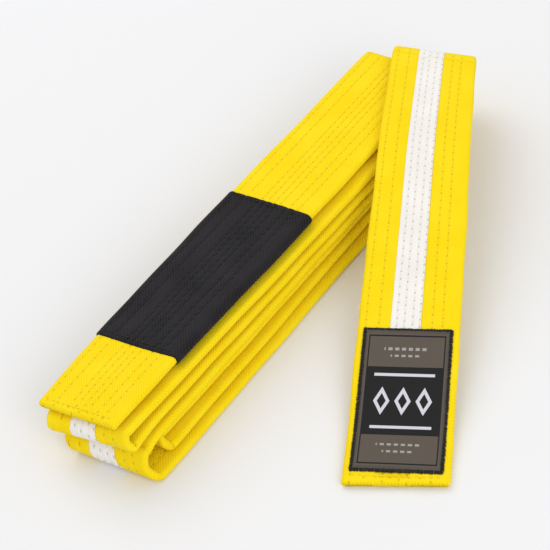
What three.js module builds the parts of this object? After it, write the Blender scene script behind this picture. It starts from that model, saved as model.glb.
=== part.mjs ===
// Martial arts belt, kids' size: a flat cotton strap with a contrasting centre stripe on one face,
// a black rank bar sleeve near the tip and a woven label near the other end.
// The strap is stored as an accordion of seven legs, and its last leg, with the label, turns over the
// back of the stack and comes down beside it to the floor.
// Millimetres, +Z up. +Y runs along the stack towards its back folds, +X points to the label leg's side,
// and the floor is z = 0.
import * as THREE from 'three';

// ---------- driving dimensions (mm) ----------
const BELT_WIDTH = 39.8;        // strap width
const HALF_THICK = 1.7;         // half the sewn strap's thickness
const COVER_WALL = 0.7;         // cover cloth, two turns of cotton drill
const STRIPE_CENTRE = -1.3;     // the stripe lies a little off the strap's middle
const CHANNEL_HALF = 6.2;       // half width of the band that the stripe tape lies in
const CHANNEL_DEPTH = 0.45;
const STRIPE_HALF = 5.9;        // half width of the white stripe tape
const SEAM_SLIT = 0.6;          // open seam of the wrapped cover, on the plain face
const CORE_HALF = 17.7;         // half width of the core plies
const RANK_START = 38.0;        // from the tip to the rank bar
const RANK_LENGTH = 93.0;
const LABEL_WIDTH = 34.0;
const LABEL_LENGTH = 64.5;
const LABEL_FROM_END = 5.0;     // from the label end to the label's edge
const LABEL_LEG = 217.0;        // length of the label leg past its fold
const SEAM_ROWS = [-16.8, -11.7, 8.9, 12.9];   // lengthwise stitch rows, across the width
const STRIPE_ROWS = [-4.8, 1.3];
const BODY_GAP = 0.35;          // running gap at the label leg's hinge line

// Legs of the stack. x0,x1: centre line at the front and back; y0,y1: where the straight part starts and
// ends; z0,z1: mid-plane height at the line x = PIVOT_X; bank: tilt at the front, degrees, right edge up;
// flare: extra height beside the front fold, and how far it reaches back, where the fold stands open or sags.
const PIVOT_X = -14;
const LEGS = {
  L1: { x0: -7.6, x1: -4.6, y0: -119.6, y1: 116.3, z0: 25.65, z1: 27.9, bank: 11.4, flare: -1.95, reach: 20 },
  L2: { x0: -3.6, x1: 0.4, y0: -116.8, y1: 116.3, z0: 20.95, z1: 23.3, bank: 9.6, flare: -0.9, reach: 20 },
  L3: { x0: -1.6, x1: 1.5, y0: -116.8, y1: 116.6, z0: 17.05, z1: 19.0, bank: 7.6, flare: -2.9, reach: 9 },
  L4: { x0: 0.4, x1: 1.5, y0: -112.6, y1: 116.6, z0: 13.1, z1: 14.8, bank: 5.6, flare: -3.1, reach: 4.5 },
  L5: { x0: -1.4, x1: 1.2, y0: -101.8, y1: 119.0, z0: 9.1, z1: 10.4, bank: 3.6, flare: 0, reach: 10 },
  L6: { x0: 2.5, x1: 1.6, y0: -101.8, y1: 114.4, z0: 5.3, z1: 6.0, bank: 1.6, flare: 0, reach: 10 },
  L7: { x0: 5.1, x1: 5.3, y0: -112.6, y1: 114.4, z0: HALF_THICK, z1: HALF_THICK, bank: 0, flare: 0, reach: 10 },
};
const ORDER = ['L1', 'L2', 'L3', 'L4', 'L7', 'L6', 'L5'];    // from the tip to the last fold
const FRONT_SKEW = { L2L3: 0.085, L4L7: 0.07, L6L5: 0.04 };  // the left side of a front fold stands forward
const FOLD_AXIS = THREE.MathUtils.degToRad(12.4);            // the last fold's axis, from +X towards +Y
const TOP_Z = 32.8;             // mid-plane height of the label leg at its fold
const END_Z = HALF_THICK + 0.02;

const smooth = (t) => { t = Math.min(1, Math.max(0, t)); return t * t * (3 - 2 * t); };

// ---------- the strap's path: stations with a centre, a cross vector and the stripe-side normal ----------
function legPoint(name, v) {
  const L = LEGS[name];
  const b = THREE.MathUtils.degToRad(L.bank * Math.pow(1 - v, 1.8));
  const x = L.x0 + (L.x1 - L.x0) * v;
  const y = L.y0 + (L.y1 - L.y0) * v;
  const z = L.z0 + (L.z1 - L.z0) * v + (x - PIVOT_X) * Math.tan(b) + L.flare * Math.exp((L.y0 - y) / L.reach);
  return { P: new THREE.Vector3(x, y, z), b };
}

const stations = [];   // root part, from the tip to the end of the last fold
function push(P, C, hint, tag) { stations.push({ P, C, hint, tag }); }

const LEG_STEPS = { L1: [0, 0.02, 0.06, 0.14, 0.22, 0.31, 0.41, 0.52, 0.66, 0.82, 1], other: [0, 0.02, 0.05, 0.1, 0.18, 0.4, 0.68, 1] };
ORDER.forEach((name, i) => {
  const forward = i % 2 === 0;                       // travelling towards the back
  const vs = name === 'L1' ? LEG_STEPS.L1 : LEG_STEPS.other;
  const list = forward ? vs : [...vs].reverse();
  for (const v of list) {
    const { P, b } = legPoint(name, v);
    const skew = name === 'L1' ? -0.03 * Math.max(0, 1 - v / 0.06) : 0;
    push(P, new THREE.Vector3(Math.cos(b), skew, Math.sin(b)), null, name);
  }
  if (i + 1 < ORDER.length) {
    const next = ORDER[i + 1];
    const A = legPoint(name, forward ? 1 : 0), B = legPoint(next, forward ? 1 : 0);
    const r = Math.abs(A.P.z - B.P.z) / 2;
    const steps = r > 4 ? 10 : 8;
    const side = forward ? 1 : -1;
    const k = FRONT_SKEW[name + next] || 0;
    for (let j = 1; j < steps; j++) {
      const f = Math.PI * j / steps, u = smooth(j / steps);
      const x = A.P.x + (B.P.x - A.P.x) * u;
      const y = A.P.y + (B.P.y - A.P.y) * u + side * r * Math.sin(f);
      const z = (A.P.z + B.P.z) / 2 + (A.P.z - B.P.z) / 2 * Math.cos(f);
      const b = A.b + (B.b - A.b) * u;
      push(new THREE.Vector3(x, y, z), new THREE.Vector3(Math.cos(b), k * Math.sin(f), Math.sin(b)), null, name + next);
    }
  }
});

// The last fold: a half turn on a level axis that is oblique to the strap, so that the label leg leaves the
// stack at an angle. Stations there are lines parallel to the axis, so the turned cloth stays developable.
const e = new THREE.Vector3(Math.cos(FOLD_AXIS), Math.sin(FOLD_AXIS), 0);
const nh = new THREE.Vector3(-Math.sin(FOLD_AXIS), Math.cos(FOLD_AXIS), 0);
const end5 = legPoint('L5', 1).P;
const dir5 = new THREE.Vector3().subVectors(end5, legPoint('L5', 0.5).P).setZ(0).normalize();
const FOLD_SHRINK = 0.95;       // the strap is drawn in a little where it turns over
const ALPHA = Math.acos(dir5.dot(nh));               // angle between the strap and the fold's normal
const FOLD_R = (TOP_Z - end5.z) / 2;
const Cskew = e.clone().multiplyScalar(FOLD_SHRINK / Math.cos(ALPHA));
for (const q of [-30, -12]) {                         // the cross lines turn towards the axis before the fold
  const t = smooth((q + 40) / 40);
  const P = end5.clone().addScaledVector(dir5, q / Math.cos(ALPHA) - 0);
  P.z = legPoint('L5', 1 + (q / (LEGS.L5.y1 - LEGS.L5.y0))).P.z;
  const C = new THREE.Vector3(1, 0, 0).lerp(Cskew, t);
  stations.pop();
  push(P, C, null, 'L5');
  if (q === -30) push(P.clone(), C.clone(), null, 'L5');
}
const FOLD_STEPS = 12;
for (let j = 0; j <= FOLD_STEPS; j++) {
  const f = Math.PI * j / FOLD_STEPS, q = FOLD_R * f;
  const P = end5.clone().addScaledVector(nh, FOLD_R * Math.sin(f)).addScaledVector(e, q * Math.tan(ALPHA));
  P.z = end5.z + FOLD_R * (1 - Math.cos(f));
  push(P, Cskew.clone(), null, 'fold');
}
const foldEnd = stations[stations.length - 1].P.clone();

// The label leg: straight in plan, level over the stack, then down to the floor.
const legDir = nh.clone().multiplyScalar(-Math.cos(ALPHA)).addScaledVector(e, Math.sin(ALPHA));
const legCross = new THREE.Vector3(-legDir.y, legDir.x, 0);
function legHeight(u) {                               // mid-plane height at the distance u from the fold
  const slope = (a) => smooth((a - 38) / 36) * (1 - smooth((a - 178) / 39));
  let total = 0, part = 0;
  for (let a = 0.5; a < LABEL_LEG; a += 1) { const s = slope(a); total += s; if (a < u) part += s; }
  return TOP_Z - (TOP_Z - END_Z) * part / total;
}
const leg = [];
const LEG_U = [0, 14, 28, 42, 56, 70, 86, 102, 118, 134, 150, 164, 178, 192, 205, LABEL_LEG];
LEG_U.forEach((u) => {
  const P = foldEnd.clone().addScaledVector(legDir, u);
  P.z = legHeight(u);
  const t = smooth(u / 42);
  const C = Cskew.clone().divideScalar(FOLD_SHRINK).lerp(legCross, t).multiplyScalar(FOLD_SHRINK + (1.01 - FOLD_SHRINK) * smooth(u / 150));
  if (u > 190) C.addScaledVector(legDir, -0.045 * smooth((u - 190) / 34));
  leg.push({ P, C, tag: 'label', u });
});

function finishStations(list, firstT, lastT) {
  let s = 0;
  list.forEach((st, i) => {
    const a = list[Math.max(0, i - 1)].P, b = list[Math.min(list.length - 1, i + 1)].P;
    const T = new THREE.Vector3().subVectors(b, a);
    if (i > 0 && i < list.length - 1) {              // a tangent that bisects the two steps
      const d1 = new THREE.Vector3().subVectors(st.P, a).normalize();
      const d2 = new THREE.Vector3().subVectors(b, st.P).normalize();
      T.addVectors(d1, d2);
    }
    if (i === 0 && firstT) T.copy(firstT);
    if (i === list.length - 1 && lastT) T.copy(lastT);
    st.N = new THREE.Vector3().crossVectors(T, st.C).normalize();
    if (i > 0) s += st.P.distanceTo(a);
    st.s = s;
  });
  return list;
}
finishStations(stations, null, legDir);
finishStations(leg, legDir, null);

// ---------- sweeping a flat section (x across the strap, y along the normal) over stations ----------
// Every quad is split from its lower-x side at the earlier station to its higher-x side at the later one, so
// that the layers of the twisted strap stay parallel.
function sweep(section, list) {
  const loops = section.loops;
  const flat = loops.flat();
  const pos = [], index = [], v = new THREE.Vector3(), n = flat.length;
  for (const st of list) {
    for (const [x, y] of flat) {
      v.copy(st.P).addScaledVector(st.C, x).addScaledVector(st.N, y);
      pos.push(v.x, v.y, v.z);
    }
  }
  for (let i = 0; i + 1 < list.length; i++) {
    let start = 0;
    for (const loop of loops) {
      for (let j = 0; j < loop.length; j++) {
        const a = start + j, b = start + (j + 1) % loop.length;
        const a0 = i * n + a, b0 = i * n + b, a1 = a0 + n, b1 = b0 + n;
        if (flat[a][0] <= flat[b][0]) index.push(a0, b0, b1, a0, b1, a1);
        else index.push(a0, b0, a1, b0, b1, a1);
      }
      start += loop.length;
    }
  }
  const vec = loops.map((l) => l.map((q) => new THREE.Vector2(q[0], q[1])));
  const faces = THREE.ShapeUtils.triangulateShape(vec[0], vec.slice(1));
  const last = (list.length - 1) * n;
  for (const [a, b, c] of faces) index.push(a, c, b, last + a, last + b, last + c);
  const g = new THREE.BufferGeometry();
  g.setAttribute('position', new THREE.Float32BufferAttribute(pos, 3));
  g.setIndex(index);
  g.computeVertexNormals();
  return g;
}
// A part of a station list between two lengths, with stations put in at both ends.
function between(list, s0, s1) {
  const at = (s) => {
    let i = 1;
    while (i < list.length - 1 && list[i].s < s) i++;
    const a = list[i - 1], b = list[i], t = (s - a.s) / (b.s - a.s);
    return { P: a.P.clone().lerp(b.P, t), C: a.C.clone().lerp(b.C, t), N: a.N.clone().lerp(b.N, t), s };
  };
  return [at(s0), ...list.filter((q) => q.s > s0 + 0.4 && q.s < s1 - 0.4), at(s1)];
}
// A section: an anticlockwise outline and clockwise openings.
const poly = (pts, holes = []) => ({ loops: [pts, ...holes] });
const rect = (x0, y0, x1, y1) => poly([[x0, y0], [x1, y0], [x1, y1], [x0, y1]]);
// A strap outline with half-round edges.
function stadium(halfWidth, half, seg) {
  const pts = [];
  for (let i = 0; i <= seg; i++) { const a = -Math.PI / 2 + Math.PI * i / seg; pts.push([halfWidth - half + half * Math.cos(a), half * Math.sin(a)]); }
  for (let i = 0; i <= seg; i++) { const a = Math.PI / 2 + Math.PI * i / seg; pts.push([-halfWidth + half + half * Math.cos(a), half * Math.sin(a)]); }
  return pts;
}

// Cover: one cloth wrapped round the core, its long edges meeting at an open seam on the plain face, with a
// shallow band on the other face for the stripe tape.
const W2 = BELT_WIDTH / 2, H = HALF_THICK, s2 = SEAM_SLIT / 2;
const inLow = -H + COVER_WALL, inHigh = H - CHANNEL_DEPTH - 0.4, inW = CORE_HALF + 0.35;
const o = stadium(W2, H, 4);
const CL = STRIPE_CENTRE - CHANNEL_HALF, CR = STRIPE_CENTRE + CHANNEL_HALF;
const coverSection = poly([
  [s2, -H], [8.9, -H], [12.9, -H], ...o.slice(0, 5),
  [12.9, H], [8.9, H],
  [CR, H], [CR, H - CHANNEL_DEPTH], [CL, H - CHANNEL_DEPTH], [CL, H],
  [-11.7, H], [-16.8, H], ...o.slice(5), [-16.8, -H], [-11.7, -H], [-s2, -H],
  [-s2, inLow], [-inW, inLow], [-inW, inHigh], [inW, inHigh], [inW, inLow], [s2, inLow],
]);
const plyLow = rect(-CORE_HALF, inLow + 0.25, CORE_HALF, inLow + 0.7);
const plyHigh = rect(-CORE_HALF, inHigh - 0.7, CORE_HALF, inHigh - 0.25);
const stripeSection = rect(STRIPE_CENTRE - STRIPE_HALF, H - CHANNEL_DEPTH + 0.1, STRIPE_CENTRE + STRIPE_HALF, H - 0.04);
const row = (w, n0, n1) => rect(w - 0.35, Math.min(n0, n1), w + 0.35, Math.max(n0, n1));

const group = new THREE.Group();
group.name = 'martial_arts_belt';
function add(name, geometry, color, roughness) {
  const m = new THREE.Mesh(geometry, new THREE.MeshStandardMaterial({ color, roughness, metalness: 0 }));
  m.name = name;
  group.add(m);
  return m;
}
const YELLOW = 0xf6d422, THREAD = 0xe8c413, WHITE = 0xf4f1ec, BLACK = 0x2c2a2c, CORE = 0xe9e4d4, LABEL = 0x4d463e;

const total = stations[stations.length - 1].s, legTotal = leg[leg.length - 1].s;

// ---------- stack: everything from the tip to the end of the last fold ----------
add('cover_stack', sweep(coverSection, stations), YELLOW, 0.85);
const coreRoot = between(stations, 4.5, total - 0.5);
add('core_ply_lower_stack', sweep(plyLow, coreRoot), CORE, 0.95);
add('core_ply_upper_stack', sweep(plyHigh, coreRoot), CORE, 0.95);
add('centre_stripe_stack', sweep(stripeSection, between(stations, 1.0, total)), WHITE, 0.85);
add('tip_hem_turn_in', sweep(rect(-CORE_HALF, inLow + 0.25, CORE_HALF, inHigh - 0.25), between(stations, 0, 4.0)), YELLOW, 0.85);
add('tip_hem_stitching', sweep(rect(-17.5, -H - 0.18, 17.5, -H - 0.06), between(stations, 2.6, 3.3)), THREAD, 0.7);
SEAM_ROWS.forEach((w, i) => {
  add(`topstitch_row_${i + 1}_stack`, sweep(row(w, -H - 0.06, -H - 0.18), between(stations, 5, total)), THREAD, 0.7);
});

// Rank bar: a sewn sleeve round the tip leg, open at both ends, with its stitching on the plain face.
const rankStations = between(stations, RANK_START, RANK_START + RANK_LENGTH);
const sleeve = poly(stadium(W2 + 0.85, H + 0.8, 6), [stadium(W2 + 0.45, H + 0.42, 6).reverse()]);
add('rank_bar_sleeve', sweep(sleeve, rankStations), BLACK, 0.9);
[[RANK_START + 2.2, 'tip_side'], [RANK_START + RANK_LENGTH - 2.8, 'inner_side']].forEach(([s, n]) => {
  add(`rank_bar_cross_stitching_${n}`, sweep(rect(-17.5, -H - 0.98, 17.5, -H - 0.86), between(stations, s, s + 0.6)), 0x3a3638, 0.8);
});
SEAM_ROWS.forEach((w, i) => {
  add(`rank_bar_row_stitching_${i + 1}`, sweep(row(w, -H - 0.86, -H - 0.98), between(stations, RANK_START + 4, RANK_START + RANK_LENGTH - 4)), 0x3a3638, 0.8);
});

// ---------- label leg ----------
const legCut = between(leg, BODY_GAP, legTotal);
add('cover_label_leg', sweep(coverSection, legCut), YELLOW, 0.85);
const coreLeg = between(leg, BODY_GAP + 0.2, legTotal - 4.5);
add('core_ply_lower_label_leg', sweep(plyLow, coreLeg), CORE, 0.95);
add('core_ply_upper_label_leg', sweep(plyHigh, coreLeg), CORE, 0.95);
add('centre_stripe_label_leg', sweep(stripeSection, between(leg, BODY_GAP, legTotal - LABEL_FROM_END - 2)), WHITE, 0.85);
add('label_hem_turn_in', sweep(rect(-CORE_HALF, inLow + 0.25, CORE_HALF, inHigh - 0.25), between(leg, legTotal - 4, legTotal)), YELLOW, 0.85);
add('label_hem_stitching', sweep(rect(-17.5, H + 0.06, 17.5, H + 0.18), between(leg, legTotal - 3.2, legTotal - 2.5)), THREAD, 0.7);
SEAM_ROWS.forEach((w, i) => {
  add(`topstitch_row_${i + 1}_label_leg`, sweep(row(w, H + 0.06, H + 0.18), between(leg, BODY_GAP + 2, legTotal - 4.5)), THREAD, 0.7);
});
STRIPE_ROWS.forEach((w, i) => {
  add(`stripe_stitch_row_${i + 1}_label_leg`, sweep(row(w, H + 0.02, H + 0.14), between(leg, BODY_GAP + 2, legTotal - 4.5)), WHITE, 0.8);
});
const lab0 = legTotal - LABEL_FROM_END - LABEL_LENGTH, lab1 = legTotal - LABEL_FROM_END;
const lw = LABEL_WIDTH / 2;
add('woven_label', sweep(rect(-lw, H + 0.45, lw, H + 0.9), between(leg, lab0, lab1)), LABEL, 0.8);
[['left', -lw + 0.4, -lw + 1.4], ['right', lw - 1.4, lw - 0.4]].forEach(([n, a, b]) => {
  add(`label_edge_stitching_${n}`, sweep(rect(a, H + 0.96, b, H + 1.1), between(leg, lab0 + 2, lab1 - 2)), 0x1d1c1e, 0.7);
});
[['upper', lab0 + 0.5, lab0 + 1.5], ['lower', lab1 - 1.5, lab1 - 0.5]].forEach(([n, a, b]) => {
  add(`label_edge_stitching_${n}`, sweep(rect(-lw + 0.4, H + 0.96, lw - 0.4, H + 1.1), between(leg, a, b)), 0x1d1c1e, 0.7);
});

// The frame's origin: the middle of the bounding box in plan, at its base.
group.updateMatrixWorld(true);
const box = new THREE.Box3().setFromObject(group);
const origin = new THREE.Vector3((box.min.x + box.max.x) / 2, (box.min.y + box.max.y) / 2, box.min.z);
for (const m of group.children) m.geometry.translate(-origin.x, -origin.y, -origin.z);

export default group;
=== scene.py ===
import bpy, math
import numpy as np
from mathutils import Matrix, Vector


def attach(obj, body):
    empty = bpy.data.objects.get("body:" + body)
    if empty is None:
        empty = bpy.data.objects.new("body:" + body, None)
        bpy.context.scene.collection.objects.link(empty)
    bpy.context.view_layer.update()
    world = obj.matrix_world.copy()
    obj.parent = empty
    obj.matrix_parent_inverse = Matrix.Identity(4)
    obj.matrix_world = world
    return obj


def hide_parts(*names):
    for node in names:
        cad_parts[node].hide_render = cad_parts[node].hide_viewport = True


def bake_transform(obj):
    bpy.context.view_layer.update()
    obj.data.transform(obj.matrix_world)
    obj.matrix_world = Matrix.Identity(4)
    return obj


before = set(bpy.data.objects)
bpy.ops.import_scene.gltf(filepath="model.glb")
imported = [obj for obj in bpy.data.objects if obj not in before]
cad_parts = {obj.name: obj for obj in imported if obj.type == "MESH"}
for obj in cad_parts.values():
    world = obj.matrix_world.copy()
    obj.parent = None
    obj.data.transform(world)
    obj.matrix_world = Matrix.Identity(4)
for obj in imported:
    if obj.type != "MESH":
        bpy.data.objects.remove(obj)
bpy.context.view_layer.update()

rng = np.random.default_rng(7)
scene = bpy.context.scene

# ------------------------------------------------------------------ the strap's path (mm, stack frame)
OFF = np.array([46.334787368774414, 6.622516632080078, 0.0])   # stack frame to row frame
BELT_W, H = 39.8, 1.7
STRIPE_C, STRIPE_H = -1.3, 5.9
RANK0, RANKL = 38.0, 93.0
LABEL_W, LABEL_L, LABEL_END = 34.0, 64.5, 5.0
LEG_LEN = 217.0
FOLD_SHRINK = 0.95
PIVOT_X = -14.0
LEGS = {
    "L1": (-7.6, -4.6, -119.6, 116.3, 25.65, 27.9, 11.4, -1.95, 20),
    "L2": (-3.6, 0.4, -116.8, 116.3, 20.95, 23.3, 9.6, -0.9, 20),
    "L3": (-1.6, 1.5, -116.8, 116.6, 17.05, 19.0, 7.6, -2.9, 9),
    "L4": (0.4, 1.5, -112.6, 116.6, 13.1, 14.8, 5.6, -3.1, 4.5),
    "L5": (-1.4, 1.2, -101.8, 119.0, 9.1, 10.4, 3.6, 0.0, 10),
    "L6": (2.5, 1.6, -101.8, 114.4, 5.3, 6.0, 1.6, 0.0, 10),
    "L7": (5.1, 5.3, -112.6, 114.4, H, H, 0.0, 0.0, 10),
}
ORDER = ["L1", "L2", "L3", "L4", "L7", "L6", "L5"]
FRONT_SKEW = {"L2L3": 0.085, "L4L7": 0.07, "L6L5": 0.04}
FOLD_AXIS = math.radians(12.4)
TOP_Z, END_Z = 32.8, H + 0.02


def smooth(t):
    t = np.clip(t, 0, 1)
    return t * t * (3 - 2 * t)


def unit(v):
    return v / np.linalg.norm(v, axis=-1, keepdims=True)


def leg_point(name, v):
    x0, x1, y0, y1, z0, z1, bank, flare, reach = LEGS[name]
    b = math.radians(bank * max(0.0, 1 - v) ** 1.8)
    x, y = x0 + (x1 - x0) * v, y0 + (y1 - y0) * v
    z = z0 + (z1 - z0) * v + (x - PIVOT_X) * math.tan(b) + flare * math.exp((y0 - y) / reach)
    return np.array([x, y, z]), b


e = np.array([math.cos(FOLD_AXIS), math.sin(FOLD_AXIS), 0.0])
nh = np.array([-math.sin(FOLD_AXIS), math.cos(FOLD_AXIS), 0.0])
end5 = leg_point("L5", 1.0)[0]
mid5 = leg_point("L5", 0.5)[0]
dir5 = end5 - mid5
dir5[2] = 0
dir5 = unit(dir5)
ALPHA = math.acos(float(dir5 @ nh))
FOLD_R = (TOP_Z - end5[2]) / 2
CSKEW = e * FOLD_SHRINK / math.cos(ALPHA)

P, C, TAG = [], [], []
for i, name in enumerate(ORDER):
    fwd = i % 2 == 0
    n = 340 if name == "L1" else 110
    for v in (np.linspace(0, 1, n) if fwd else np.linspace(1, 0, n)):
        if name == "L5" and v > 1 - 40 / 220.8:
            continue
        p, b = leg_point(name, v)
        skew = -0.03 * max(0.0, 1 - v / 0.06) if name == "L1" else 0.0
        P.append(p); C.append(np.array([math.cos(b), skew, math.sin(b)])); TAG.append(name)
    if i + 1 < len(ORDER):
        nxt = ORDER[i + 1]
        (A, ab), (B, bb) = leg_point(name, 1.0 if fwd else 0.0), leg_point(nxt, 1.0 if fwd else 0.0)
        r = abs(A[2] - B[2]) / 2
        steps = 36 if r > 3 else 26
        side = 1 if fwd else -1
        k = FRONT_SKEW.get(name + nxt, 0)
        for j in range(1, steps):
            f, u = math.pi * j / steps, float(smooth(j / steps))
            # the outer fold of a soft strap is a little flattened at its crown
            fl = math.sin(f) * (1 - 0.06 * math.sin(2 * f) ** 2)
            p = np.array([A[0] + (B[0] - A[0]) * u, A[1] + (B[1] - A[1]) * u + side * r * fl,
                          (A[2] + B[2]) / 2 + (A[2] - B[2]) / 2 * math.cos(f)])
            b = ab + (bb - ab) * u
            P.append(p); C.append(np.array([math.cos(b), k * math.sin(f), math.sin(b)])); TAG.append(name + nxt)
for q in np.linspace(-38, 0, 28):
    t = float(smooth((q + 40) / 40))
    p = end5 + dir5 * q / math.cos(ALPHA)
    p[2] = leg_point("L5", 1 + q / 220.8)[0][2]
    P.append(p); C.append(np.array([1.0, 0, 0]) * (1 - t) + CSKEW * t); TAG.append("L5")
I_FOLD = len(P) - 1                                   # the station where the last fold starts
FS = 60
for j in range(1, FS + 1):
    f = math.pi * j / FS
    q = FOLD_R * f
    p = end5 + nh * FOLD_R * math.sin(f) + e * q * math.tan(ALPHA)
    p[2] = end5[2] + FOLD_R * (1 - math.cos(f))
    P.append(p); C.append(CSKEW.copy()); TAG.append("fold")
I_LEG = len(P) - 1                                    # the station where the label leg starts
fold_end = P[-1].copy()
leg_dir = -nh * math.cos(ALPHA) + e * math.sin(ALPHA)
leg_cross = np.array([-leg_dir[1], leg_dir[0], 0.0])

ss = np.arange(0.5, LEG_LEN, 1.0)
slope = smooth((ss - 38) / 36) * (1 - smooth((ss - 178) / 39))
cum = np.concatenate([[0], np.cumsum(slope)])


def leg_height(u):
    return TOP_Z - (TOP_Z - END_Z) * np.interp(u, np.arange(len(cum)), cum) / cum[-1]


for u in np.linspace(0, LEG_LEN, 360)[1:]:
    p = fold_end + leg_dir * u
    p[2] = leg_height(u)
    t = float(smooth(u / 42))
    c = (CSKEW / FOLD_SHRINK * (1 - t) + leg_cross * t) * (FOLD_SHRINK + (1.01 - FOLD_SHRINK) * float(smooth(u / 150)))
    if u > 190:
        c = c - leg_dir * 0.045 * float(smooth((u - 190) / 34))
    P.append(p); C.append(c); TAG.append("leg")
P, C = np.array(P), np.array(C)
d = np.diff(P, axis=0)
seg = np.linalg.norm(d, axis=1)
S = np.concatenate([[0], np.cumsum(seg)])
T = np.vstack([d[:1] / seg[0], unit(d[1:] / seg[1:, None] + d[:-1] / seg[:-1, None]), d[-1:] / seg[-1]])
T[I_LEG] = leg_dir
N = unit(np.cross(T, C))
K = np.sum(C * T, axis=1)
TOTAL = S[-1]
S_LEG, S_FOLD = S[I_LEG], S[I_FOLD]


def point(s, w, n, extra=None):
    """Points of the strap, row frame, metres. s, w, n are arrays of the same shape, in mm."""
    s = np.clip(s, 0, TOTAL)
    out = np.empty(s.shape + (3,))
    for k in range(3):
        out[..., k] = np.interp(s, S, P[:, k]) + w * np.interp(s, S, C[:, k]) + n * np.interp(s, S, N[:, k])
    out[..., 2] = np.maximum(out[..., 2], 0.0)           # lies on the floor, not in it
    return (out - OFF) / 1000


def true_s(s, w):
    return s + w * np.interp(s, S, K)


def from_true(st, w):
    """The station length of a point whose length along its own thread line is st."""
    s = np.array(st, float)
    for _ in range(6):
        s = s - (true_s(s, w) - st)
    return s


ROWS = [-16.8, -11.7, -4.8, -1.9, 1.3, 4.1, 8.9, 12.9]
PITCH = 3.7                                          # one stitch and its gap


def wave(s, w, seed=0.0):
    return (0.5 * np.sin(s / 23.0 + 1.3 + seed) * np.sin(w / 13 + 0.4 * seed + 0.7)
            + 0.3 * np.sin(s / 9.7 + w / 15 + 2.1 + seed) + 0.2 * np.sin(s / 5.3 - w / 7 + seed))


def puff(s, w):
    """Relief of the quilted face, mm: hollow along each row of stitches, most where the needle pierces."""
    z = np.zeros(np.broadcast(s, w).shape)
    for i, r in enumerate(ROWS):
        hole = 0.5 + 0.5 * np.cos(2 * np.pi * (s / PITCH - 0.37 * i))
        z -= (0.15 + 0.13 * hole) * np.exp(-(((w - r) / 0.60) ** 2))
    return z


def ends(s, a, b, r=1.5):
    """How much of the thickness is left near a free end (rounded hems)."""
    da = np.clip((s - a) / r, 0, 1) if a is not None else np.ones_like(s)
    db = np.clip((b - s) / r, 0, 1) if b is not None else np.ones_like(s)
    return np.sqrt(np.clip(1 - (1 - np.minimum(da, db)) ** 2, 0.0, 1))


# ------------------------------------------------------------------ meshes
def make(name, verts, faces, attrs=None, sharp=None):
    me = bpy.data.meshes.new(name)
    verts = np.asarray(verts, np.float32).reshape(-1, 3)
    counts = np.array([len(f) for f in faces], np.int32) if not isinstance(faces, np.ndarray) else np.full(len(faces), faces.shape[1], np.int32)
    flat = np.concatenate([np.asarray(f, np.int32) for f in faces]) if not isinstance(faces, np.ndarray) else faces.astype(np.int32).ravel()
    me.vertices.add(len(verts)); me.vertices.foreach_set("co", verts.ravel())
    me.loops.add(len(flat)); me.loops.foreach_set("vertex_index", flat)
    me.polygons.add(len(counts))
    me.polygons.foreach_set("loop_start", np.concatenate([[0], np.cumsum(counts)[:-1]]).astype(np.int32))
    me.polygons.foreach_set("use_smooth", counts <= 4)
    me.update(calc_edges=True)
    me.validate()
    if attrs is not None:
        at = me.attributes.new("sw", "FLOAT_VECTOR", "POINT")
        at.data.foreach_set("vector", np.asarray(attrs, np.float32).ravel())
    ob = bpy.data.objects.new(name, me)
    scene.collection.objects.link(ob)
    return ob


def grid_tube(nst, nsec, cap0=True, cap1=True):
    i = np.arange(nst - 1)[:, None]
    j = np.arange(nsec)[None, :]
    a, b = i * nsec + j, i * nsec + (j + 1) % nsec
    f = np.stack([a, b, b + nsec, a + nsec], -1).reshape(-1, 4)
    faces = [tuple(x) for x in f.tolist()]
    if cap0:
        faces.append(tuple(range(nsec - 1, -1, -1)))
    if cap1:
        faces.append(tuple(range((nst - 1) * nsec, nst * nsec)))
    return faces


def section(half_w, half, nface, nedge):
    """(w, n, kind) round the strap, anticlockwise: kind -1 plain face, +1 stripe face, 0 edge."""
    pts = []
    ws = np.linspace(-half_w + half, half_w - half, nface)
    pts += [(w, -half, -1) for w in ws]
    for a in np.linspace(-90, 90, nedge + 2)[1:-1]:
        a = math.radians(a)
        pts.append((half_w - half + half * math.cos(a), half * math.sin(a), 0))
    pts += [(w, half, 1) for w in ws[::-1]]
    for a in np.linspace(90, 270, nedge + 2)[1:-1]:
        a = math.radians(a)
        pts.append((-half_w + half + half * math.cos(a), half * math.sin(a), 0))
    return np.array(pts)


SEC = section(BELT_W / 2, H, 61, 7)
CROWNS = {}
for _i, _t in enumerate(TAG):
    if not (len(_t) == 2):
        CROWNS.setdefault(_t, []).append(S[_i])
CROWNS = [(0.5 * (min(v) + max(v)), 0.24 * (max(v) - min(v)) + 1.0) for k, v in CROWNS.items() if k != "leg"]


def pull(s, w):
    """How far the edges draw in at the crown of a fold, mm."""
    z = np.zeros(np.broadcast(s, w).shape)
    for c, g in CROWNS:
        z += min(1.5, 0.28 * g) * np.exp(-(((s - c) / g) ** 2))
    return np.sign(w) * z * smooth((np.abs(w) - 12) / 7)



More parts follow.
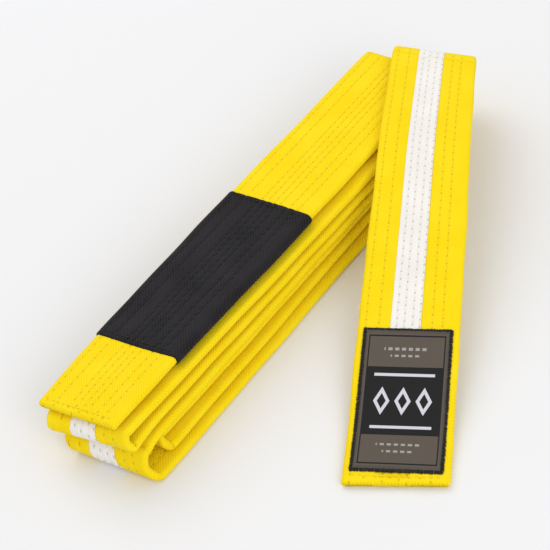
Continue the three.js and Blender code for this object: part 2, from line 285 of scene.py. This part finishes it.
def strap_piece(name, i0, i1, cap0, cap1):
    s = S[i0:i1 + 1][:, None] + np.zeros(len(SEC))[None, :]
    w = SEC[:, 0][None, :] + np.zeros_like(s)
    n0 = SEC[:, 1][None, :] + np.zeros_like(s)
    kind = SEC[:, 2][None, :]
    st = true_s(s, w)
    end = ends(s, 0 if cap0 else None, TOTAL if cap1 else None)
    n = n0 * end
    n = n + kind * puff(st, w) * (end > 0.9) * 1.0
    # the tape covers the stripe face's middle band
    n = n - (kind > 0) * 0.28 * smooth((6.6 - np.abs(w - STRIPE_C)) / 0.5)
    # a slight unevenness of the hand-sewn edges and the filling
    w = w + 0.36 * wave(st, 0 * w + 30 * np.sign(w), 1.7) * (np.abs(w) > 15) - pull(s, w)
    w = w - np.sign(w) * (1 - end) * 1.2 * smooth((np.abs(w) - 13) / 6)      # the hems' corners are a little rounded
    n = n + 0.15 * wave(st, w, 0.3)
    v = point(s, w, n)
    return make(name, v, grid_tube(i1 - i0 + 1, len(SEC)), np.stack([st, w, n0], -1))


def ribbon(name, s0, s1, w0, w1, nbase, thick, ns, nw, side=1, edge=0.25, dips=True, caps=True, tuck=(False, False)):
    """A thin cloth strip that lies on one face: rounded long edges, closed underneath."""
    half = (w1 - w0) / 2
    top = np.linspace(-1, 1, nw)
    sec = [(half * t, 1.0) for t in top]
    sec = [(-half - edge * 0.0, 0.0)] + sec[:0] + [(-half, 0.0)] + [(-half + edge * 0.3, 0.75)] + \
          [(t * (half - edge), 1.0) for t in top] + [(half - edge * 0.3, 0.75)] + [(half, 0.0)]
    sec = sec[1:]
    sec = sec[::-1]                                    # anticlockwise once the underside closes it
    sec = [(x, y) for x, y in sec] + [(-half * 0.5, -0.3), (half * 0.5, -0.3)]
    sec = np.array(sec)
    sc = np.linspace(s0, s1, ns)
    st = sc[:, None] + np.zeros(len(sec))[None, :]
    w = (w0 + w1) / 2 + sec[:, 0][None, :] + np.zeros_like(st)
    s = from_true(st, w)
    up = sec[:, 1][None, :] + np.zeros_like(st)
    n = nbase + thick * up
    if dips:
        n = n + (up > 0.9) * puff(st, w) * 0.9
    n = n + 0.15 * wave(st, w, 0.3) * side
    v = point(s, w, side * n)
    faces = grid_tube(ns, len(sec))
    if side < 0:
        faces = [f[::-1] for f in faces]
    return make(name, v, faces, np.stack([st, w, n * side], -1))


def capsules(name, a, b, up, rad, arch, seg=5, ring=5, attrs=True):
    """Many stitches in one mesh. a, b: end points (k,3) in metres, up: unit normals, rad, arch in metres."""
    a, b, up = np.asarray(a, float), np.asarray(b, float), np.asarray(up, float)
    k = len(a)
    t = np.linspace(0, 1, seg)
    lift = np.array([-0.75, 0.55, 1.0, 0.55, -0.75]) if seg == 5 else np.sin(np.pi * t) * 1.4 - 0.4
    size = np.array([0.45, 0.95, 1.0, 0.95, 0.45]) if seg == 5 else 0.5 + 0.5 * np.sin(np.pi * t)
    along = unit(b - a)
    side = unit(np.cross(along, up))
    c = a[:, None] + (b - a)[:, None] * t[None, :, None] + up[:, None] * (arch * lift)[None, :, None]
    c[..., 2] = np.maximum(c[..., 2], rad * size)        # a stitch under the belt is pressed flush by the floor
    an = 2 * np.pi * np.arange(ring) / ring
    off = (np.cos(an)[None, None, :, None] * side[:, None, None] + np.sin(an)[None, None, :, None] * up[:, None, None])
    v = c[:, :, None] + off * (rad * size)[None, :, None, None]
    base = (np.arange(k) * seg * ring)[:, None, None]
    i = np.arange(seg - 1)[None, :, None] * ring
    j = np.arange(ring)[None, None, :]
    jn = (j + 1) % ring
    q = np.stack([base + i + j, base + i + jn, base + i + ring + jn, base + i + ring + j], -1).reshape(-1, 4)
    faces = [tuple(x) for x in q[:, ::-1].tolist()]
    for m in range(k):
        faces.append(tuple(m * seg * ring + np.arange(ring)))
        faces.append(tuple(m * seg * ring + (seg - 1) * ring + np.arange(ring)[::-1]))
    at = np.zeros(v.shape)
    at[..., 0] = (np.arange(k) * 1.37 % 9)[:, None, None]
    at[..., 1] = t[None, :, None]
    at[..., 2] = an[None, None, :]
    return make(name, v.reshape(-1, 3), faces, at.reshape(-1, 3))


def normal_at(s):
    out = np.empty(np.shape(s) + (3,))
    for k in range(3):
        out[..., k] = np.interp(s, S, N[:, k])
    return unit(out)


def row_stitches(s0, s1, w, i, side, level=0.0, pitch=PITCH, length=2.9, jitter=0.10):
    """End points and normals of one lengthwise row on one face."""
    k0, k1 = math.floor(s0 / pitch - 0.37 * i) - 1, math.ceil(s1 / pitch - 0.37 * i) + 1
    k = np.arange(k0, k1)
    mid = (k + 0.37 * i + 0.5) * pitch
    mid = mid[(mid - length / 2 > s0) & (mid + length / 2 < s1)]
    w = w + jitter * rng.standard_normal(len(mid)) * 0.6
    a_s, b_s = mid - length / 2, mid + length / 2
    nn = side * (H - 0.29 + level + 0.15 * wave(mid, w, 0.3) * side)
    if side > 0 and level == 0.0:
        nn = nn + 0.17 * (np.abs(w - STRIPE_C) < 6)
    A = point(from_true(a_s, w), w, nn)
    B = point(from_true(b_s, w), w + 0.05 * rng.standard_normal(len(mid)), nn)
    return A, B, side * normal_at(from_true(mid, w))


# ------------------------------------------------------------------ materials
def node(nt, kind, **inputs):
    nd = nt.nodes.new(kind)
    for k, v in inputs.items():
        if k.startswith("_"):
            setattr(nd, k[1:], v)
        else:
            nd.inputs[k].default_value = v
    return nd


def math_node(nt, op, a, b=None, c=None, clamp=False):
    nd = nt.nodes.new("ShaderNodeMath")
    nd.operation = op
    nd.use_clamp = clamp
    for i, x in enumerate((a, b, c)):
        if x is None:
            continue
        if isinstance(x, (int, float)):
            nd.inputs[i].default_value = x
        else:
            nt.links.new(x, nd.inputs[i])
    return nd.outputs[0]


def mix_rgb(nt, fac, a, b, mode="MIX"):
    nd = nt.nodes.new("ShaderNodeMix")
    nd.data_type = "RGBA"
    nd.blend_type = mode
    for sock, x in ((nd.inputs[0], fac), (nd.inputs[6], a), (nd.inputs[7], b)):
        if isinstance(x, (int, float)):
            sock.default_value = x
        elif isinstance(x, tuple):
            sock.default_value = (*x, 1)
        else:
            nt.links.new(x, sock)
    return nd.outputs[2]


def cloth(name, base, dark=None, light=None, twill=0.95, angle=52.0, depth=0.09, rough=0.86, sheen=0.25,
          sheen_tint=(1, 1, 1), lint=0.0, label=False, hole_shade=None, spec=0.16):
    m = bpy.data.materials.new(name)
    m.use_nodes = True
    nt = m.node_tree
    bs = nt.nodes["Principled BSDF"]
    at = node(nt, "ShaderNodeAttribute", _attribute_name="sw", _attribute_type="GEOMETRY")
    sep = nt.nodes.new("ShaderNodeSeparateXYZ")
    nt.links.new(at.outputs["Vector"], sep.inputs[0])
    s_, w_ = sep.outputs[0], sep.outputs[1]
    ca, sa = math.cos(math.radians(angle)), math.sin(math.radians(angle))
    # threads wander a little
    nz = node(nt, "ShaderNodeTexNoise", Scale=0.35, Detail=2.0)
    nt.links.new(at.outputs["Vector"], nz.inputs["Vector"])
    wob = math_node(nt, "MULTIPLY", math_node(nt, "SUBTRACT", nz.outputs["Fac"], 0.5), 0.7)
    diag = math_node(nt, "ADD", math_node(nt, "ADD", math_node(nt, "MULTIPLY", s_, ca), math_node(nt, "MULTIPLY", w_, sa)), wob)
    perp = math_node(nt, "SUBTRACT", math_node(nt, "MULTIPLY", s_, sa), math_node(nt, "MULTIPLY", w_, ca))
    tw = math_node(nt, "SINE", math_node(nt, "MULTIPLY", diag, 2 * math.pi / twill))
    cr = math_node(nt, "SINE", math_node(nt, "ADD", math_node(nt, "MULTIPLY", perp, 2 * math.pi / (twill * 0.72)),
                                         math_node(nt, "MULTIPLY", diag, math.pi / twill)))
    tw01 = math_node(nt, "MULTIPLY_ADD", tw, 0.5, 0.5)
    cr01 = math_node(nt, "MULTIPLY_ADD", cr, 0.5, 0.5)
    height = math_node(nt, "ADD", math_node(nt, "MULTIPLY", tw01, 0.7), math_node(nt, "MULTIPLY", math_node(nt, "MULTIPLY", cr01, tw01), 0.45))
    fine = node(nt, "ShaderNodeTexNoise", Scale=5.0, Detail=4.0, Roughness=0.7)
    nt.links.new(at.outputs["Vector"], fine.inputs["Vector"])
    height2 = math_node(nt, "ADD", height, math_node(nt, "MULTIPLY", fine.outputs["Fac"], 0.5))
    bump = node(nt, "ShaderNodeBump", Strength=0.85, Distance=depth / 1000)
    nt.links.new(height2, bump.inputs["Height"])
    nt.links.new(bump.outputs[0], bs.inputs["Normal"])
    dark = dark or tuple(c * 0.72 for c in base)
    light = light or tuple(min(1, c * 1.06) for c in base)
    col = mix_rgb(nt, math_node(nt, "MULTIPLY_ADD", height, 0.75, 0.22, clamp=True), dark, base)
    big = node(nt, "ShaderNodeTexNoise", Scale=0.06, Detail=3.0)
    nt.links.new(at.outputs["Vector"], big.inputs["Vector"])
    fb = math_node(nt, "MULTIPLY", math_node(nt, "SUBTRACT", big.outputs["Fac"], 0.38, clamp=True), 1.6, clamp=True)
    col = mix_rgb(nt, fb, col, light)
    if lint:
        sp = node(nt, "ShaderNodeTexNoise", Scale=2.2, Detail=6.0, Roughness=0.8)
        nt.links.new(at.outputs["Vector"], sp.inputs["Vector"])
        fl = math_node(nt, "MULTIPLY", math_node(nt, "SUBTRACT", sp.outputs["Fac"], 0.63, clamp=True), 6.0 * lint, clamp=True)
        col = mix_rgb(nt, fl, col, (0.35, 0.33, 0.31))
    if hole_shade:
        # painted shade: darker spots where the needle pierces each stitch row, mixed into the colour
        total = None
        for i, r in enumerate(ROWS):
            dw = math_node(nt, "MULTIPLY", math_node(nt, "SUBTRACT", w_, float(r)), 2.1)
            ds = math_node(nt, "MULTIPLY", math_node(nt, "PINGPONG", math_node(nt, "SUBTRACT", s_, 0.37 * i * PITCH), PITCH / 2), 1.45)
            q = math_node(nt, "ADD", math_node(nt, "MULTIPLY", dw, dw), math_node(nt, "MULTIPLY", ds, ds))
            spot = math_node(nt, "SUBTRACT", 1.0, q, clamp=True)
            total = spot if total is None else math_node(nt, "ADD", total, spot)
        col = mix_rgb(nt, math_node(nt, "MULTIPLY", total, hole_shade[0], clamp=True), col, hole_shade[1])
    if label:
        col = label(nt, s_, w_, col)
    nt.links.new(col, bs.inputs["Base Color"])
    bs.inputs["Roughness"].default_value = rough
    bs.inputs["Sheen Weight"].default_value = sheen
    bs.inputs["Sheen Roughness"].default_value = 0.45
    bs.inputs["Sheen Tint"].default_value = (*sheen_tint, 1)
    bs.inputs["Specular IOR Level"].default_value = spec
    return m


def thread(name, base, rough=0.7, deep=0.6):
    m = bpy.data.materials.new(name)
    m.use_nodes = True
    nt = m.node_tree
    bs = nt.nodes["Principled BSDF"]
    at = node(nt, "ShaderNodeAttribute", _attribute_name="sw", _attribute_type="GEOMETRY")
    sep = nt.nodes.new("ShaderNodeSeparateXYZ")
    nt.links.new(at.outputs["Vector"], sep.inputs[0])
    tw = math_node(nt, "SINE", math_node(nt, "ADD", math_node(nt, "MULTIPLY", sep.outputs[1], 26.0), math_node(nt, "MULTIPLY", sep.outputs[2], 2.0)))
    h = math_node(nt, "MULTIPLY_ADD", tw, 0.5, 0.5)
    bump = node(nt, "ShaderNodeBump", Strength=0.6, Distance=0.00004)
    nt.links.new(h, bump.inputs["Height"])
    nt.links.new(bump.outputs[0], bs.inputs["Normal"])
    wn = node(nt, "ShaderNodeTexWhiteNoise", _noise_dimensions="1D")
    nt.links.new(sep.outputs[0], wn.inputs["W"])
    v = math_node(nt, "MULTIPLY_ADD", wn.outputs["Value"], 0.22, 0.86)
    hv = math_node(nt, "MULTIPLY", v, math_node(nt, "MULTIPLY_ADD", h, 0.25, 0.8))
    col = mix_rgb(nt, hv, tuple(c * deep for c in base), base)
    nt.links.new(col, bs.inputs["Base Color"])
    bs.inputs["Roughness"].default_value = rough
    bs.inputs["Sheen Weight"].default_value = 0.06
    bs.inputs["Specular IOR Level"].default_value = 0.2
    return m


# Panels of the woven label, in the strap's own length and width (mm).
LAB1 = TOTAL - LABEL_END
LAB0 = LAB1 - LABEL_L


def label_panels(nt, s_, w_, col):
    t = math_node(nt, "DIVIDE", math_node(nt, "SUBTRACT", s_, LAB0), LABEL_L)        # 0 at the upper edge, 1 at the lower
    aw = math_node(nt, "ABSOLUTE", w_)

    def band(x, a, b):
        return math_node(nt, "MULTIPLY", math_node(nt, "GREATER_THAN", x, a), math_node(nt, "LESS_THAN", x, b))

    black, brown, pale = (0.012, 0.011, 0.012), (0.105, 0.086, 0.068), (0.62, 0.62, 0.68)
    hw = LABEL_W / 2
    inside = math_node(nt, "MULTIPLY", band(t, 0.035, 0.965), math_node(nt, "LESS_THAN", aw, hw - 1.6))
    col = mix_rgb(nt, inside, col, brown)
    # a thin black frame line
    frame_in = math_node(nt, "MULTIPLY", band(t, 0.058, 0.942), math_node(nt, "LESS_THAN", aw, hw - 2.7))
    frame_out = math_node(nt, "MULTIPLY", band(t, 0.047, 0.953), math_node(nt, "LESS_THAN", aw, hw - 2.2))
    line = math_node(nt, "SUBTRACT", frame_out, frame_in)
    col = mix_rgb(nt, line, col, black)
    # the middle panel
    mid = math_node(nt, "MULTIPLY", band(t, 0.27, 0.74), math_node(nt, "LESS_THAN", aw, hw - 2.2))
    col = mix_rgb(nt, mid, col, black)
    # plain ornament: a row of three lozenges between two bars, and small bars in the outer panels
    ds = math_node(nt, "ABSOLUTE", math_node(nt, "SUBTRACT", s_, LAB0 + 0.505 * LABEL_L))
    cell = math_node(nt, "ABSOLUTE", math_node(nt, "SUBTRACT", math_node(nt, "MULTIPLY", math_node(nt, "FRACT", math_node(nt, "DIVIDE", math_node(nt, "ADD", w_, 12.0), 8.0)), 8.0), 4.0))
    loz = math_node(nt, "LESS_THAN", math_node(nt, "ADD", math_node(nt, "DIVIDE", ds, 6.2), math_node(nt, "DIVIDE", cell, 3.1)), 1.0)
    hole = math_node(nt, "LESS_THAN", math_node(nt, "ADD", math_node(nt, "DIVIDE", ds, 3.4), math_node(nt, "DIVIDE", cell, 1.7)), 1.0)
    loz = math_node(nt, "MULTIPLY", math_node(nt, "SUBTRACT", loz, hole), math_node(nt, "LESS_THAN", aw, 11.8))
    col = mix_rgb(nt, loz, col, pale)
    for t0, t1, lim in ((0.315, 0.335, 11.5), (0.675, 0.695, 11.5)):
        col = mix_rgb(nt, math_node(nt, "MULTIPLY", band(t, t0, t1), math_node(nt, "LESS_THAN", aw, lim)), col, pale)
    for t0, t1, lim in ((0.135, 0.155, 8.5), (0.185, 0.2, 6.0), (0.80, 0.815, 8.5), (0.85, 0.865, 6.0)):
        dash = math_node(nt, "LESS_THAN", math_node(nt, "FRACT", math_node(nt, "DIVIDE", math_node(nt, "ADD", w_, 20.0), 2.6)), 0.6)
        b_ = math_node(nt, "MULTIPLY", math_node(nt, "MULTIPLY", band(t, t0, t1), math_node(nt, "LESS_THAN", aw, lim)), dash)
        col = mix_rgb(nt, b_, col, (0.36, 0.335, 0.31))
    return col


YELLOW = (0.94, 0.735, 0.006)
# the needle-hole colours given below are painted shade in the pierces of the stitch rows
mat_yellow = cloth("yellow twill", YELLOW, dark=(0.89, 0.60, 0.001), light=(0.95, 0.76, 0.018), depth=0.085, sheen=0.04,
                   sheen_tint=(1, 0.96, 0.7), hole_shade=(0.55, (0.46, 0.24, 0.001)), spec=0.10)
mat_white = cloth("white tape", (0.90, 0.87, 0.83), dark=(0.78, 0.745, 0.69), twill=0.8, sheen=0.05, hole_shade=(0.65, (0.36, 0.32, 0.27)))
mat_black = cloth("black twill", (0.018, 0.016, 0.018), dark=(0.006, 0.005, 0.006), light=(0.028, 0.025, 0.028), twill=1.1,
                  depth=0.14, sheen=0.06, lint=0.5, hole_shade=(0.7, (0.002, 0.002, 0.002)))
mat_label = cloth("woven label", (0.105, 0.086, 0.068), dark=(0.05, 0.042, 0.035), twill=0.5, angle=12, depth=0.05, rough=0.62,
                  sheen=0.05, label=label_panels)
thr_yellow = thread("yellow thread", (0.93, 0.69, 0.012), deep=0.72)
thr_white = thread("white thread", (0.92, 0.895, 0.855), deep=0.8)
thr_black = thread("black thread", (0.016, 0.015, 0.016), deep=0.5)


def finish_piece(ob, mat, body=None):
    ob.data.materials.append(mat)
    if body:
        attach(ob, body)
    return ob


# ------------------------------------------------------------------ the strap
strap_stack = finish_piece(strap_piece("strap_stack", 0, I_FOLD, True, False), mat_yellow, "stack")
strap_fold = finish_piece(strap_piece("strap_last_fold", I_FOLD, I_LEG, False, False), mat_yellow)
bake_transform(strap_fold)
strap_leg = finish_piece(strap_piece("strap_label_leg", I_LEG, len(P) - 1, False, True), mat_yellow, "label_leg")

tape_stack = finish_piece(ribbon("stripe_tape_stack", 2.0, S_FOLD, STRIPE_C - STRIPE_H, STRIPE_C + STRIPE_H, H - 0.34, 0.36, 1500, 21), mat_white, "stack")
tape_fold = finish_piece(ribbon("stripe_tape_last_fold", S_FOLD, S_LEG, STRIPE_C - STRIPE_H, STRIPE_C + STRIPE_H, H - 0.34, 0.36, 60, 21), mat_white)
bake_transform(tape_fold)
tape_leg = finish_piece(ribbon("stripe_tape_label_leg", S_LEG, TOTAL - LABEL_END - 3.0, STRIPE_C - STRIPE_H, STRIPE_C + STRIPE_H, H - 0.34, 0.36, 340, 21), mat_white, "label_leg")

# ------------------------------------------------------------------ rank bar
def rank_bar():
    sec = section(BELT_W / 2 + 0.75, H + 0.70, 61, 9)
    ns = 190
    s = np.linspace(RANK0, RANK0 + RANKL, ns)[:, None] + np.zeros(len(sec))[None, :]
    w = sec[:, 0][None, :] + np.zeros_like(s)
    kind = sec[:, 2][None, :]
    n = sec[:, 1][None, :] + kind * puff(s, w) * 1.3
    # the cut ends are turned in, so they round down onto the belt
    r = 1.1
    d0 = np.minimum(np.clip((s - RANK0) / r, 0, 1), np.clip((RANK0 + RANKL - s) / r, 0, 1))
    shrink = (1 - np.sqrt(1 - (1 - d0) ** 2)) * 0.85
    n = n - np.sign(n) * shrink * (np.abs(sec[:, 1][None, :]) / (H + 0.72))
    w = w - np.sign(w) * shrink * smooth((np.abs(w) - 17.5) / 2)
    s = s + 0.25 * np.sin(w / 7 + 1) * np.where(s > RANK0 + RANKL / 2, 1, -0.7)
    n = n + 0.15 * wave(s, w, 0.3) + 0.05 * wave(s * 1.7, w * 1.5, 4.0)
    w = w + 0.3 * wave(s, 30 * np.sign(w), 5.1) * (np.abs(w) > 15)
    return make("rank_bar", point(s, w, n), grid_tube(ns, len(sec)), np.stack([s, w, n], -1))


bar = finish_piece(rank_bar(), mat_black, "stack")

# ------------------------------------------------------------------ stitches
def gather(parts):
    return [np.concatenate([p[k] for p in parts]) for k in range(3)]


def stitch_piece(name, parts, mat, body, rad=0.00027, arch=0.00020):
    A, B, U = gather(parts)
    ob = capsules(name, A, B, U, rad, arch)
    return finish_piece(ob, mat, body)


S1 = S[max(i for i, t in enumerate(TAG) if t == "L1")]
tagS = {}
for i, t in enumerate(TAG):
    tagS.setdefault(t, [S[i], S[i]])[1] = S[i]
    
yel_rows = [(i, w) for i, w in enumerate(ROWS) if abs(w - STRIPE_C) > 6]
mid_rows = [(i, w) for i, w in enumerate(ROWS) if abs(w - STRIPE_C) < 6]
p = []
for i, w in enumerate(ROWS):                                    # plain face: the tip leg, folds and every other leg
    p.append(row_stitches(5.0, RANK0 - 0.6, w, i, -1))
    p.append(row_stitches(RANK0 + RANKL + 0.6, S_FOLD - 1, w, i, -1))
for i, w in yel_rows:                                           # stripe face
    p.append(row_stitches(5.0, RANK0 - 0.6, w, i, 1))
    p.append(row_stitches(RANK0 + RANKL + 0.6, S_FOLD - 1, w, i, 1))
stitch_piece("topstitching_stack", p, thr_yellow, "stack")
p = [row_stitches(5.0, S_FOLD - 1, w, i, 1) for i, w in mid_rows]
stitch_piece("stripe_stitching_stack", p, thr_white, "stack")
p = [row_stitches(S_FOLD, S_LEG, w, i, -1) for i, w in enumerate(ROWS)] + [row_stitches(S_FOLD, S_LEG, w, i, 1) for i, w in yel_rows]
ob = stitch_piece("topstitching_last_fold", p, thr_yellow, None)
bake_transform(ob)
p = [row_stitches(S_FOLD, S_LEG, w, i, 1) for i, w in mid_rows]
ob = stitch_piece("stripe_stitching_last_fold", p, thr_white, None)
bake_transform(ob)
p = [row_stitches(S_LEG, TOTAL - 5, w, i, -1) for i, w in enumerate(ROWS)]
p += [row_stitches(S_LEG, TOTAL - 4.2 if abs(w) > 16.5 else (LAB0 if abs(w) < 16.5 else TOTAL - 4.2), w, i, 1) for i, w in yel_rows]
stitch_piece("topstitching_label_leg", p, thr_yellow, "label_leg")
p = [row_stitches(S_LEG, LAB0, w, i, 1) for i, w in mid_rows]
stitch_piece("stripe_stitching_label_leg", p, thr_white, "label_leg")
p = [row_stitches(RANK0 + 3.4, RANK0 + RANKL - 3.4, w, i, sd, level=0.74) for i, w in enumerate(ROWS) for sd in (-1, 1)]


def cross_row(s0, wlim, side, level, pitch=2.6, length=2.0):
    k = np.arange(-math.floor(wlim / pitch), math.floor(wlim / pitch) + 1)
    w = k * pitch * 1.0
    s = s0 + 0.12 * rng.standard_normal(len(w))
    n = side * (H - 0.08 + level)
    A = point(from_true(s, w - length / 2), w - length / 2, n + 0 * w)
    B = point(from_true(s, w + length / 2), w + length / 2, n + 0 * w)
    return A, B, side * normal_at(from_true(s, w))


for s0 in (RANK0 + 2.4, RANK0 + RANKL - 2.4):
    p += [cross_row(s0, 18.0, -1, 0.72), cross_row(s0, 18.0, 1, 0.72)]
stitch_piece("rank_bar_stitching", p, thr_black, "stack")
stitch_piece("tip_hem_stitching_rows", [cross_row(3.0, 18.0, -1, 0.02), cross_row(3.0, 18.0, 1, 0.02)], thr_yellow, "stack")
stitch_piece("label_hem_stitching_rows", [cross_row(TOTAL - 2.9, 18.0, 1, 0.02), cross_row(TOTAL - 2.9, 18.0, -1, 0.02)], thr_yellow, "label_leg")

# ------------------------------------------------------------------ label
label = finish_piece(ribbon("label", LAB0, LAB1, -LABEL_W / 2, LABEL_W / 2, H - 0.15, 0.75, 120, 60, dips=False, edge=0.5), mat_label, "label_leg")


def overlock():
    """Short threads laid across the label's edge, close together, all the way round."""
    A, B, U = [], [], []
    hw = LABEL_W / 2
    out, inn = 0.45, 1.1
    step = 0.62
    for side in (-1, 1):
        s = np.arange(LAB0 + 0.2, LAB1 - 0.2, step)
        s = s + 0.08 * rng.standard_normal(len(s))
        o = side * (hw + out + 0.08 * rng.standard_normal(len(s)))
        i = side * (hw - inn + 0.07 * rng.standard_normal(len(s)))
        A.append(point(from_true(s, o), o, 0 * s + H + 0.12))
        B.append(point(from_true(s + 0.25, i), i, 0 * s + H + 0.62))
        U.append(normal_at(s))
    for s0, sg in ((LAB0, -1), (LAB1, 1)):
        w = np.arange(-hw, hw, step)
        w = w + 0.08 * rng.standard_normal(len(w))
        o = s0 + sg * (out + 0.08 * rng.standard_normal(len(w)))
        i = s0 - sg * (inn + 0.07 * rng.standard_normal(len(w)))
        A.append(point(from_true(o, w), w, 0 * w + H + 0.12))
        B.append(point(from_true(i, w + 0.25), w + 0.25, 0 * w + H + 0.62))
        U.append(normal_at(o))
    ob = capsules("label_overlock", np.concatenate(A), np.concatenate(B), np.concatenate(U), 0.00033, 0.00022)
    return finish_piece(ob, thr_black, "label_leg")


overlock()

# ------------------------------------------------------------------ every CAD node is stood for by a visual piece
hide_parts("cover_stack", "core_ply_lower_stack", "core_ply_upper_stack", "tip_hem_turn_in")
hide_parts("cover_label_leg", "core_ply_lower_label_leg", "core_ply_upper_label_leg", "label_hem_turn_in")
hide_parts("centre_stripe_stack")
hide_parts("centre_stripe_label_leg")
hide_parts("rank_bar_sleeve")
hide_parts(*[f"topstitch_row_{k}_stack" for k in (1, 2, 3, 4)])
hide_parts(*[f"topstitch_row_{k}_label_leg" for k in (1, 2, 3, 4)])
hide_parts("stripe_stitch_row_1_label_leg", "stripe_stitch_row_2_label_leg")
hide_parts("rank_bar_cross_stitching_tip_side", "rank_bar_cross_stitching_inner_side",
            *[f"rank_bar_row_stitching_{k}" for k in (1, 2, 3, 4)])
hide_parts("tip_hem_stitching")
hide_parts("label_hem_stitching")
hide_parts("woven_label")
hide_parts(*[f"label_edge_stitching_{k}" for k in ("left", "right", "upper", "lower")])

# ------------------------------------------------------------------ floor, light, camera
bpy.ops.mesh.primitive_plane_add(size=6, location=(0, 0, 0))
floor = bpy.context.object
floor.name = "floor"
fm = bpy.data.materials.new("floor")
fm.use_nodes = True
fb = fm.node_tree.nodes["Principled BSDF"]
fb.inputs["Base Color"].default_value = (0.82, 0.82, 0.832, 1)
fb.inputs["Roughness"].default_value = 0.8
fb.inputs["Specular IOR Level"].default_value = 0.1
floor.data.materials.append(fm)

world = bpy.data.worlds.new("world")
scene.world = world
world.use_nodes = True
world.node_tree.nodes["Background"].inputs[0].default_value = (1, 1, 1, 1)
world.node_tree.nodes["Background"].inputs[1].default_value = 0.775


def area(name, loc, size, power, target=(0, 0, 0.01), color=(1, 1, 1)):
    l = bpy.data.lights.new(name, "AREA")
    l.shape = "DISK"
    l.size = size
    l.energy = power
    l.color = color
    o = bpy.data.objects.new(name, l)
    scene.collection.objects.link(o)
    o.location = loc
    o.rotation_mode = "QUATERNION"
    o.rotation_quaternion = (Vector(target) - Vector(loc)).to_track_quat("-Z", "Y")
    return o


area("key", (-0.80, 0.30, 1.00), 1.1, 5.0)
area("fill", (0.95, -0.50, 0.72), 0.8, 4.7)

YAW = math.radians(38.841)
TH, DIST, ROLL = math.radians(42.97), 736.558, math.radians(-8.031)


def to_stack(v):
    x, y, z = v
    return np.array([x * math.cos(YAW) - y * math.sin(YAW), x * math.sin(YAW) + y * math.cos(YAW), z])


cpos = to_stack((0, -DIST * math.cos(TH), DIST * math.sin(TH)))
fw = to_stack((0, math.cos(TH), -math.sin(TH)))
rt = to_stack((1, 0, 0))
up = np.cross(rt, fw)
rt2 = rt * math.cos(ROLL) + up * math.sin(ROLL)
up2 = -rt * math.sin(ROLL) + up * math.cos(ROLL)
cam = bpy.data.cameras.new("camera")
cam.sensor_width = 36
cam.sensor_fit = "HORIZONTAL"
cam.lens = 1763.155 / 550 * 36
cam.clip_start, cam.clip_end = 0.01, 20
cob = bpy.data.objects.new("camera", cam)
scene.collection.objects.link(cob)
m = Matrix.Identity(4)
for k in range(3):
    m[k][0], m[k][1], m[k][2] = rt2[k], up2[k], -fw[k]
    m[k][3] = (cpos - OFF)[k] / 1000
cob.matrix_world = m
scene.camera = cob
scene.view_settings.view_transform = "Standard"
scene.view_settings.look = "None"
scene.view_settings.exposure = 0
scene.view_settings.gamma = 1

bpy.context.view_layer.update()
